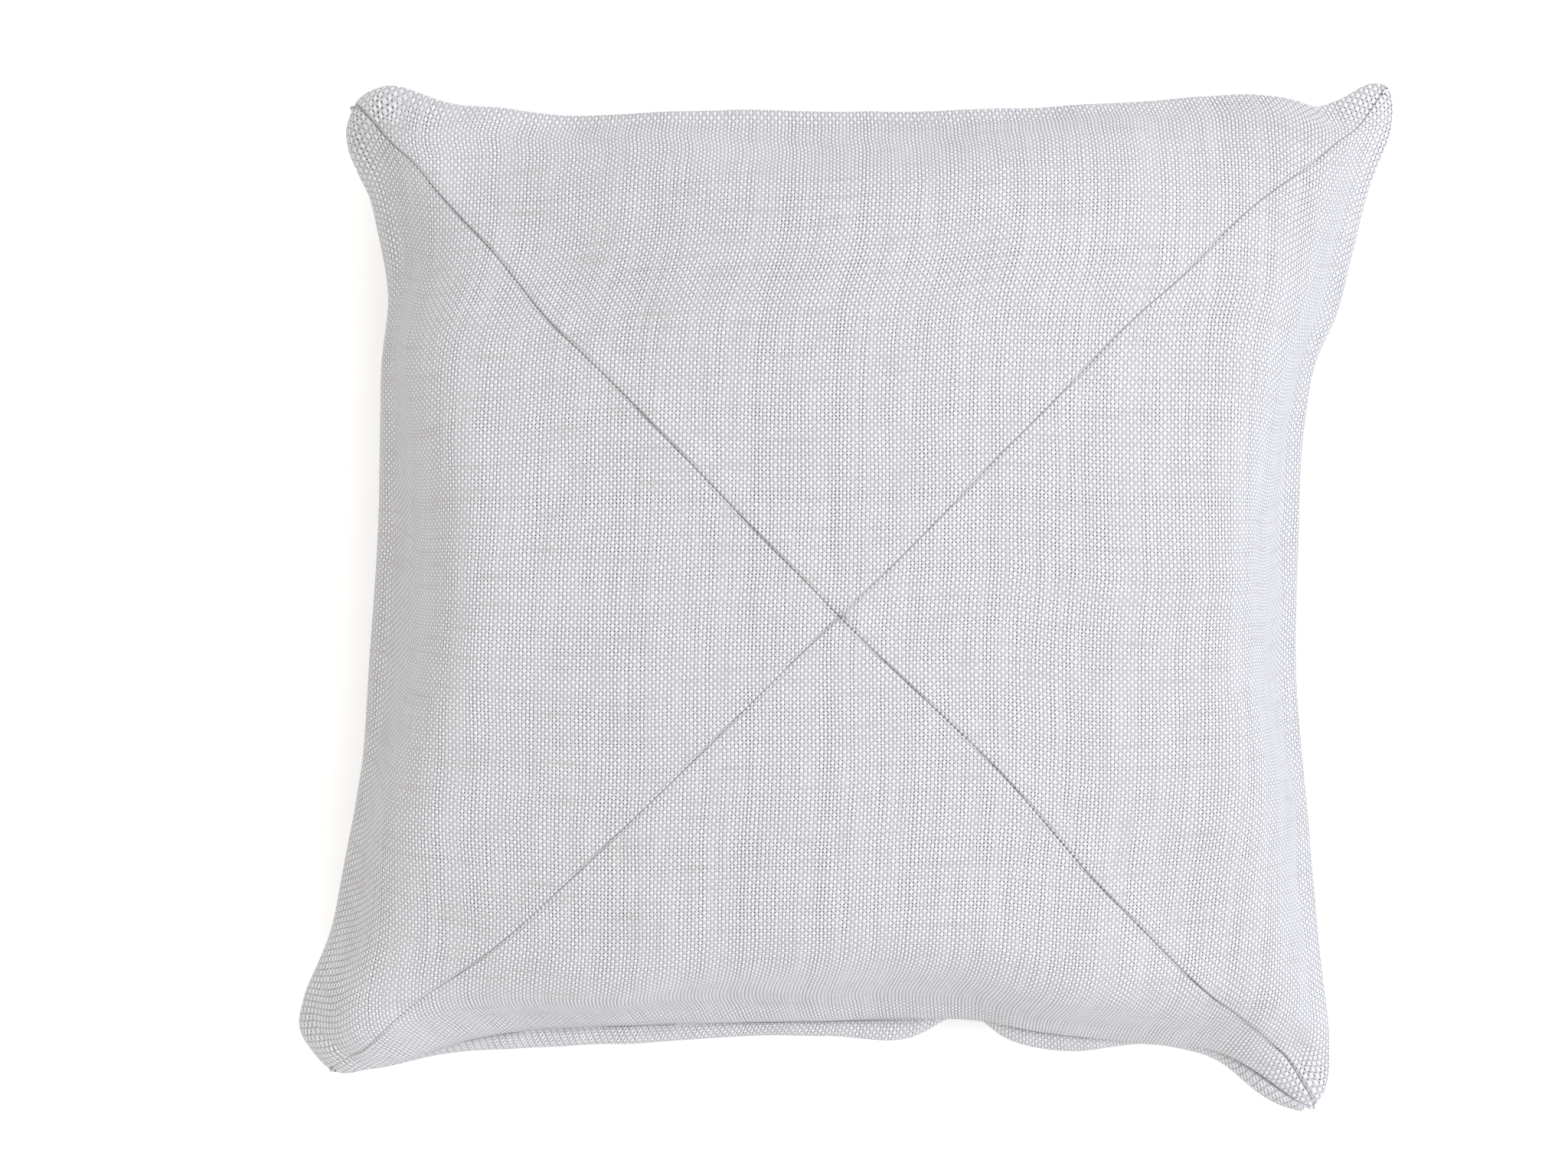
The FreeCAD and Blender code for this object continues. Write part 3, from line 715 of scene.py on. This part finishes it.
def casing_thread():
    """The stitches round the casing."""
    u, v = (side * CASING_SHARE for side in outline(500))
    out = normals(u, v)
    path = place(u, v) - out * CASING_DEPTH
    other = place(u, v, True) - normals(u, v, True) * CASING_DEPTH
    path[:, 2] = (path[:, 2] + other[:, 2]) / 2
    path = behind_zip(path, 0.001)
    return thread_run("casing_stitches", path, level(out), CASING_STITCH, 0.0004)


def fibre():
    """The lofted fibre: a closed form that fills the casing."""
    top = inner_sheet(FIBRE_SHARE, FIBRE_DEPTH, False, 0.002)
    bottom = inner_sheet(FIBRE_SHARE, FIBRE_DEPTH, True, 0.001)
    count = PAD_CELLS + 1
    numbers = np.arange(count * count).reshape(count, count)
    below = numbers.copy()
    below[1:-1, 1:-1] = count * count + np.arange((count - 2) ** 2).reshape(count - 2, count - 2)
    points = np.concatenate([top.reshape(-1, 3), bottom[1:-1, 1:-1].reshape(-1, 3)])
    return new_object("fibre_fill", points, joined_faces(numbers, below))


# ---- the zip ---------------------------------

COIL_PITCH = 0.0015
COIL_WIRE = 0.00033              # radius of the filament


def coil(name, node):
    """One coil of the chain: a wound filament, flattened where the two coils meet."""
    low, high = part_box(node)
    turns = int((high[0] - low[0]) / COIL_PITCH)
    steps = 14
    t = np.arange(turns * steps + 1) / steps * 2 * math.pi
    middle = [(low[i] + high[i]) / 2 for i in range(3)]
    half = [(high[i] - low[i]) / 2 - COIL_WIRE for i in (1, 2)]
    path = np.stack([
        low[0] + COIL_WIRE + t / (2 * math.pi) * COIL_PITCH * 0.999,
        middle[1] + half[0] * np.sign(np.cos(t)) * abs(np.cos(t)) ** 0.7,
        middle[2] + half[1] * np.sign(np.sin(t)) * abs(np.sin(t)) ** 0.7,
    ], -1)
    return tube(name, path, COIL_WIRE, 6)


def tube(name, path, radius, sides):
    """A round tube along a path that never runs along X."""
    along = np.gradient(path, axis=0)
    along /= np.linalg.norm(along, axis=1, keepdims=True)
    side = np.cross(along, (1.0, 0, 0))
    side /= np.linalg.norm(side, axis=1, keepdims=True)
    up = np.cross(side, along)
    turn = np.arange(sides) / sides * 2 * math.pi
    rings = [path + radius * (math.cos(a) * side + math.sin(a) * up) for a in turn]
    points = np.stack(rings, 1).reshape(-1, 3)
    faces = []
    for i in range(len(path) - 1):
        for j in range(sides):
            a = i * sides + j
            b = i * sides + (j + 1) % sides
            faces.append([a, b, b + sides, a + sides])
    last = (len(path) - 1) * sides
    faces.append(list(reversed(range(sides))))
    faces.append([last + j for j in range(sides)])
    return new_object(name, points, faces)


def tape(name, node, upper):
    """A woven tape along its CAD strip, slightly bowed and rippled."""
    low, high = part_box(node)
    count_x, count_w = 240, 14
    x = np.linspace(low[0], high[0], count_x)
    w = np.linspace(0, 1, count_w)
    near = np.array([high[1], low[2] if upper else high[2]])
    far = np.array([low[1], high[2] if upper else low[2]])
    points, flat = [], []
    for a in x:
        for share in w:
            y, z = near + (far - near) * share
            bow = 0.0003 * math.sin(share * math.pi) + 0.00008 * math.sin(a / 0.0011)
            points.append((a, y + bow, z))
            flat.append((a, share * 0.010))
    piece = new_object(name, points, grid_faces(count_x, count_w, flip=upper))
    store_flat(piece, np.array(flat))
    thicken(piece, 0.0006)
    return piece


def label_piece():
    """The blank folded ribbon in the left edge seam: two layers joined by a rounded fold."""
    low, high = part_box("care_label")
    rows, steps = 20, 24
    middle_z = (low[2] + high[2]) / 2
    loop = []
    half = (high[2] - low[2]) / 2 - 0.00008
    for k in range(steps + 1):
        share = k / steps
        run = abs(2 * share - 1)
        x = high[0] - (high[0] - low[0]) * run
        side = -1 if share < 0.5 else 1
        round_off = math.sqrt(max(0.0, 1 - (1 - run / 0.12) ** 2)) if run < 0.12 else 1
        loop.append((x, middle_z + side * half * round_off))
    points, flat = [], []
    for i in range(rows + 1):
        y = low[1] + (high[1] - low[1]) * i / rows
        for k, (x, z) in enumerate(loop):
            points.append((x, y, z + 0.0004 * math.sin(i / rows * math.pi)))
            flat.append((k * 0.0006, i * 0.0016))
    piece = new_object("blank_label", points, grid_faces(rows + 1, steps + 1))
    store_flat(piece, np.array(flat))
    thicken(piece, 0.00012)
    return piece


# ---- materials -------------------------------

class Nodes:
    """A short way to build one material's nodes."""

    def __init__(self, name):
        self.material = bpy.data.materials.new(name)
        self.material.use_nodes = True
        self.tree = self.material.node_tree
        self.shader = self.tree.nodes["Principled BSDF"]

    def link(self, source, target):
        """Join an output, or set a number, to an input."""
        if isinstance(source, bpy.types.NodeSocket):
            self.tree.links.new(source, target)
        else:
            target.default_value = source

    def math(self, operation, a, b=0.0):
        """One sum; a and b are numbers or outputs."""
        node = self.tree.nodes.new("ShaderNodeMath")
        node.operation = operation
        self.link(a, node.inputs[0])
        self.link(b, node.inputs[1])
        return node.outputs[0]

    def spot(self, uv_map=None):
        """The place that textures read: the flat cloth's UV map, or the object's own."""
        if uv_map:
            node = self.tree.nodes.new("ShaderNodeUVMap")
            node.uv_map = uv_map
            return node.outputs["UV"]
        return self.tree.nodes.new("ShaderNodeTexCoord").outputs["Object"]

    def scaled(self, vector, x, y, z=1.0):
        """A place stretched along its axes."""
        node = self.tree.nodes.new("ShaderNodeVectorMath")
        node.operation = "MULTIPLY"
        self.link(vector, node.inputs[0])
        node.inputs[1].default_value = (x, y, z)
        return node.outputs[0]

    def split(self, vector):
        """A vector's x, y and z."""
        node = self.tree.nodes.new("ShaderNodeSeparateXYZ")
        self.link(vector, node.inputs[0])
        return node.outputs[0], node.outputs[1], node.outputs[2]

    def noise(self, vector, scale, detail=2.0, roughness=0.5):
        """Noise from 0 to 1."""
        node = self.tree.nodes.new("ShaderNodeTexNoise")
        self.link(vector, node.inputs["Vector"])
        node.inputs["Scale"].default_value = scale
        node.inputs["Detail"].default_value = detail
        node.inputs["Roughness"].default_value = roughness
        return node.outputs["Fac"]

    def drift(self, vector, scale, reach):
        """A slow wander to either side, as wide as reach in all."""
        return self.math("MULTIPLY", self.math("SUBTRACT", self.noise(vector, scale), 0.5), reach)

    def turns(self, number):
        """1 for an even whole number and -1 for an odd one."""
        odd = self.math("FLOORED_MODULO", number, 2.0)
        return self.math("SUBTRACT", 1.0, self.math("MULTIPLY", odd, 2.0))

    def chance(self, number):
        """A different chance value for each whole number."""
        node = self.tree.nodes.new("ShaderNodeTexWhiteNoise")
        node.noise_dimensions = "1D"
        self.link(number, node.inputs["W"])
        return node.outputs["Value"]

    def ramp(self, value, low, high, start=0.0, end=1.0):
        """value taken from the range low..high to start..end, smoothly."""
        node = self.tree.nodes.new("ShaderNodeMapRange")
        node.interpolation_type = "SMOOTHSTEP"
        self.link(value, node.inputs["Value"])
        node.inputs["From Min"].default_value = low
        node.inputs["From Max"].default_value = high
        node.inputs["To Min"].default_value = start
        node.inputs["To Max"].default_value = end
        return node.outputs["Result"]

    def mix(self, share, a, b):
        """A colour between a and b."""
        node = self.tree.nodes.new("ShaderNodeMix")
        node.data_type = "RGBA"
        self.link(share, node.inputs["Factor"])
        for source, target in ((a, node.inputs["A"]), (b, node.inputs["B"])):
            if isinstance(source, tuple):
                target.default_value = (*source, 1)
            else:
                self.link(source, target)
        return node.outputs["Result"]

    def bump(self, height, distance, strength):
        """Give the shader a bump from a height."""
        node = self.tree.nodes.new("ShaderNodeBump")
        node.inputs["Strength"].default_value = strength
        node.inputs["Distance"].default_value = distance
        self.link(height, node.inputs["Height"])
        self.link(node.outputs["Normal"], self.shader.inputs["Normal"])

    def finish(self, colour, **values):
        """Set the shader's colour and its other inputs, each a number or an output."""
        self.link(colour, self.shader.inputs["Base Color"])
        for name, value in values.items():
            self.link(value, self.shader.inputs[name.replace("_", " ")])
        return self.material


def weave(n, warp, weft):
    """Plain weave: heights of the warp and weft yarns, and a chance value for each yarn."""
    across = n.math("FLOOR", warp)
    along = n.math("FLOOR", weft)
    in_warp = n.math("SUBTRACT", n.math("FRACT", warp), 0.5)
    in_weft = n.math("SUBTRACT", n.math("FRACT", weft), 0.5)
    warp_wave = n.math("MULTIPLY", n.math("SINE", n.math("MULTIPLY", weft, math.pi)), n.turns(across))
    weft_wave = n.math("MULTIPLY", n.math("SINE", n.math("MULTIPLY", warp, math.pi)), n.turns(along))
    warp_chance = n.chance(across)
    weft_chance = n.chance(n.math("ADD", along, 5000.0))
    heights = []
    for inside, wave, chance, direction, thick in (
        (in_warp, warp_wave, warp_chance, 1.0, 0.29),
        (in_weft, weft_wave, weft_chance, -1.0, 0.32),
    ):
        width = n.math("ADD", n.math("MULTIPLY", chance, 0.18), thick)
        ratio = n.math("DIVIDE", inside, width)
        round_part = n.math("SUBTRACT", 1.0, n.math("MULTIPLY", ratio, ratio))
        rise = n.math("MULTIPLY", wave, 0.75 * direction)
        heights.append(n.math("ADD", rise, n.math("MULTIPLY", round_part, 0.9)))
    return heights[0], heights[1], warp_chance, weft_chance


def linen(name, warp_colour, weft_colour, gap_shade_colour):
    """Chunky plain-woven linen: pale warp dots on greyer weft, with flecks and slubs, and painted
    shade, near black, in the hollows between the yarns.
    """
    n = Nodes(name)
    cloth = n.spot("cloth")
    x, y, _ = n.split(cloth)
    drift_x = n.drift(n.scaled(cloth, 1, 0.35), 60.0, 0.0022)
    drift_y = n.drift(n.scaled(cloth, 0.35, 1), 67.0, 0.0020)
    warp = n.math("DIVIDE", n.math("ADD", x, drift_x), WARP_PITCH)
    weft = n.math("DIVIDE", n.math("ADD", y, drift_y), WEFT_PITCH)
    warp_height, weft_height, warp_chance, weft_chance = weave(n, warp, weft)
    height = n.math("MAXIMUM", n.math("MAXIMUM", warp_height, weft_height), -0.15)
    warp_up = n.ramp(n.math("SUBTRACT", warp_height, weft_height), -0.10, 0.35)
    warp_shade = n.mix(n.math("MULTIPLY", warp_chance, 0.55), warp_colour, weft_colour)
    weft_shade = n.mix(weft_chance, weft_colour, tuple(0.90 * c for c in weft_colour))
    yarn = n.mix(warp_up, weft_shade, warp_shade)
    # Painted shade: the low places between the yarns are darkened towards a near-black colour.
    hollow_shade = n.ramp(height, 0.0, 0.60, 1.0, 0.0)
    colour = n.mix(n.math("MULTIPLY", hollow_shade, 0.95), yarn, gap_shade_colour)

    slubs = n.noise(n.scaled(cloth, 1, 0.12), 240.0, 3.0, 0.6)
    weft_slubs = n.noise(n.scaled(cloth, 0.07, 1), 330.0, 3.0, 0.6)
    warp_slubs = n.noise(n.scaled(cloth, 1, 0.07), 300.0, 3.0, 0.6)
    fibres = n.noise(n.scaled(cloth, 1, 0.25), 2600.0, 2.0, 0.6)
    flecks = n.noise(n.scaled(cloth, 1.0, 0.5), 420.0, 1.0)
    for pattern, low, high, most, tint in (
        (slubs, 0.42, 0.70, 0.14, (0.62, 0.60, 0.58)),
        (weft_slubs, 0.50, 0.72, 0.42, (0.34, 0.325, 0.31)),
        (warp_slubs, 0.52, 0.74, 0.30, (0.36, 0.35, 0.345)),
        (fibres, 0.45, 0.75, 0.16, (0.46, 0.45, 0.44)),
        (flecks, 0.735, 0.80, 0.45, (0.36, 0.27, 0.17)),
    ):
        colour = n.mix(n.ramp(pattern, low, high, 0.0, most), colour, tint)

    n.bump(n.math("ADD", height, n.math("MULTIPLY", fibres, 0.35)), 0.00030, 0.9)
    return n.finish(
        colour, Roughness=0.92, Specular_IOR_Level=0.2, Sheen_Weight=0.12, Sheen_Roughness=0.5
    )


def spun_thread(name, colour):
    """Twisted polyester thread."""
    n = Nodes(name)
    spot = n.spot()
    twist = n.noise(spot, 2600.0, 1.0)
    shade = n.mix(n.ramp(twist, 0.3, 0.7), tuple(0.72 * c for c in colour), colour)
    n.bump(twist, 0.0001, 0.5)
    return n.finish(shade, Roughness=0.6, Sheen_Weight=0.15)


def woven_tape(name, colour):
    """Dense twill of a zip tape or a label ribbon, with painted shade in the grooves between its
    ribs.
    """
    n = Nodes(name)
    x, y, _ = n.split(n.spot("cloth"))
    ribs = n.math("SINE", n.math("MULTIPLY", n.math("ADD", x, n.math("MULTIPLY", y, 0.6)), 7000.0))
    cords = n.math("SINE", n.math("MULTIPLY", y, 5200.0))
    height = n.math("ADD", ribs, n.math("MULTIPLY", cords, 0.8))
    # Painted shade: the grooves between the ribs are darkened to 70 per cent of the colour.
    shade = n.mix(n.ramp(height, -1.2, 1.2), tuple(0.70 * c for c in colour), colour)
    n.bump(height, 0.00008, 0.8)
    return n.finish(shade, Roughness=0.75, Sheen_Weight=0.1)


def nylon(name, colour):
    """Moulded nylon filament with a slight gloss."""
    n = Nodes(name)
    haze = n.noise(n.spot(), 900.0, 2.0)
    shade = n.mix(n.ramp(haze, 0.35, 0.7), tuple(0.88 * c for c in colour), colour)
    return n.finish(shade, Roughness=n.ramp(haze, 0.3, 0.7, 0.28, 0.42))


def brushed_metal(name, colour):
    """Nickel-plated zinc with fine wear."""
    n = Nodes(name)
    spot = n.spot()
    grain = n.noise(n.scaled(spot, 0.08, 1.0, 1.0), 4200.0, 3.0)
    wear = n.noise(spot, 300.0, 4.0)
    shade = n.mix(n.ramp(wear, 0.55, 0.75, 0.0, 0.6), colour, tuple(0.62 * c for c in colour))
    n.bump(grain, 0.00005, 0.4)
    return n.finish(shade, Metallic=1.0, Roughness=n.ramp(grain, 0.3, 0.7, 0.24, 0.40))


def soft_stuff(name, colour, scale, depth):
    """Non-woven cloth or loose fibre."""
    n = Nodes(name)
    spot = n.spot()
    strands = n.noise(spot, scale, 6.0, 0.65)
    shade = n.mix(n.ramp(strands, 0.35, 0.65), tuple(0.84 * c for c in colour), colour)
    n.bump(strands, depth, 0.8)
    return n.finish(shade, Roughness=0.95, Sheen_Weight=0.2)


# The last colour is painted shade for the hollows between the yarns, not a colour of the linen.
LINEN = linen("linen", (0.645, 0.64, 0.67), (0.415, 0.41, 0.43), (0.018, 0.017, 0.018))
# The mitre seams' threads are real stitches coloured near black, partly painted shade of the dark
# lines in the seam grooves; the long seam's deeper groove gets the darker one.
THREAD = spun_thread("sewing_thread", (0.10, 0.09, 0.08))
SHORT_THREAD = spun_thread("short_seam_thread_and_groove_shade", (0.15, 0.145, 0.145))
PALE_THREAD = spun_thread("pale_thread", (0.62, 0.61, 0.60))
TAPE = woven_tape("zip_tape", (0.80, 0.79, 0.78))
RIBBON = woven_tape("label_ribbon", (0.88, 0.88, 0.87))
COIL = nylon("zip_nylon", (0.82, 0.82, 0.80))
METAL = brushed_metal("zip_metal", (0.52, 0.51, 0.49))
CASING = soft_stuff("casing_cloth", (0.86, 0.86, 0.86), 1400.0, 0.0002)
FIBRE = soft_stuff("fibre", (0.93, 0.93, 0.92), 260.0, 0.0015)


# ---- put the cushion together ----------------

def fit(piece, material, node):
    """Give a piece its material and its place on the cushion, and hide the CAD node that it stands
    for.
    """
    piece.data.materials.clear()
    piece.data.materials.append(material)
    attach(piece, BODY)
    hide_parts(node)
    return piece


CENTRE_X, CENTRE_Y = MITRE_CENTRE

# name: (node, first corner, last corner, lift of the allowance on each of their seams,
#        height as a share of CUT_HALF, weave shift)
PANELS = {
    "panel_zip_side":
        ("mitred_panel_zip_side", (-1, 1), (1, 1), (1.3, 0.0), 1 - CENTRE_Y, (0, 0)),
    "panel_right":
        ("mitred_panel_right", (1, 1), (1, -1), (0.8, 1.3), 1 - CENTRE_X, (0.0007, 0.0003)),
    "panel_front":
        ("mitred_panel_front", (1, -1), (-1, -1), (0.0, 0.8), 1 + CENTRE_Y, (0.0013, 0.0011)),
    "panel_left":
        ("mitred_panel_left", (-1, -1), (-1, 1), (0.0, 0.0), 1 + CENTRE_X, (0.0004, 0.0016)),
}

casing_front = fit(casing_side("casing_front", False), CASING, "inner_casing_front")
casing_back = fit(casing_side("casing_back", True), CASING, "inner_casing_back")
fit(fibre(), FIBRE, "fibre_filling")
fit(casing_thread(), PALE_THREAD, "inner_casing_seam_thread")

for panel_name, (node, first, last, raised, share, shift) in PANELS.items():
    panel = front_panel(panel_name, first, last, raised, shift)
    thicken(panel)
    fit(panel, LINEN, node)

back = back_panel("panel_back")
thicken(back)
fit(back, LINEN, "back_panel")

long_thread = mitre_thread(
    "mitre_stitches_long", 0.0006, (-MITRE_END, MITRE_END), MITRE_CENTRE, (MITRE_END, -MITRE_END)
)
right_thread = mitre_thread(
    "mitre_stitches_right", 0.0004, (MITRE_START, MITRE_START), (MITRE_END, MITRE_END)
)
left_thread = mitre_thread(
    "mitre_stitches_left", 0.0003, (-MITRE_START, -MITRE_START), (-MITRE_END, -MITRE_END)
)
fit(long_thread, THREAD, "mitre_seam_long")
fit(right_thread, SHORT_THREAD, "mitre_seam_short_right")
fit(left_thread, SHORT_THREAD, "mitre_seam_short_left")
fit(edge_thread(), PALE_THREAD, "edge_seam_thread")

fit(tape("tape_upper", "zip_tape_upper", True), TAPE, "zip_tape_upper")
fit(tape("tape_lower", "zip_tape_lower", False), TAPE, "zip_tape_lower")
fit(coil("coil_upper", "zip_coil_upper"), COIL, "zip_coil_upper")
fit(coil("coil_lower", "zip_coil_lower"), COIL, "zip_coil_lower")
fit(label_piece(), RIBBON, "care_label")

for node_name in ("zip_stop_closed_end", "zip_stop_open_end", "zip_slider", "zip_pull_tab"):
    metal_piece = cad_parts[node_name]
    metal_piece.data.materials.clear()
    metal_piece.data.materials.append(METAL)

# ---- floor, light and camera -----------------

CAMERA_HEIGHT = 1.6              # above the seam
EYE = (-0.031, -0.0086, SEAM_Z + CAMERA_HEIGHT)
FRAME_WIDTH = 0.931              # seen across the picture at the seam's height
SENSOR = 36                      # width of the camera's sensor, in millimetres
LIGHT_AIM = (0, 0, 0.08)         # the middle of the cushion

# name: (place, size, watts, colour)
LIGHTS = {
    "key": ((2.2, 0.3, 1.9), 2.2, 76.0, (0.88, 0.92, 1.0)),
    "fill": ((-1.6, -0.6, 2.2), 2.2, 24.0, (1.0, 0.94, 0.84)),
    "top": ((0.0, 0.0, 3.0), 3.0, 26.0, (1.0, 1.0, 1.0)),
    "near_low": ((0.6, -2.3, 0.9), 1.6, 13.0, (0.94, 0.96, 1.0)),
    "far_low": ((0.2, 2.3, 0.9), 1.6, 13.0, (1.0, 0.99, 0.96)),
}


def floor():
    """A plain pale floor."""
    half = 6.0
    corners = [(-half, -half, 0), (half, -half, 0), (half, half, 0), (-half, half, 0)]
    ground = new_object("floor", corners, [(0, 1, 2, 3)])
    n = Nodes("floor")
    speckle = n.noise(n.spot(), 40.0, 2.0)
    shade = n.mix(speckle, (0.93, 0.93, 0.93), (0.95, 0.95, 0.95))
    ground.data.materials.append(n.finish(shade, Roughness=0.9))


def area_light(name, location, size, power, colour):
    """A soft square light that faces the cushion."""
    data = bpy.data.lights.new(name, "AREA")
    data.shape = "SQUARE"
    data.size = size
    data.energy = power
    data.color = colour
    lamp = bpy.data.objects.new(name, data)
    bpy.context.scene.collection.objects.link(lamp)
    lamp.location = location
    aim = Vector(LIGHT_AIM) - Vector(location)
    lamp.rotation_mode = "QUATERNION"
    lamp.rotation_quaternion = aim.to_track_quat("-Z", "Y")


floor()
for light_name, light in LIGHTS.items():
    area_light(light_name, *light)

world = bpy.data.worlds.new("studio")
world.use_nodes = True
background = world.node_tree.nodes["Background"]
background.inputs["Color"].default_value = (1.0, 1.0, 1.0, 1)
background.inputs["Strength"].default_value = 0.71
bpy.context.scene.world = world
bpy.context.scene.view_settings.view_transform = "Standard"

lens_data = bpy.data.cameras.new("camera")
lens_data.sensor_width = SENSOR
lens_data.lens = SENSOR * CAMERA_HEIGHT / FRAME_WIDTH
camera = bpy.data.objects.new("camera", lens_data)
bpy.context.scene.collection.objects.link(camera)
camera.location = EYE
bpy.context.scene.camera = camera

bpy.context.view_layer.update()
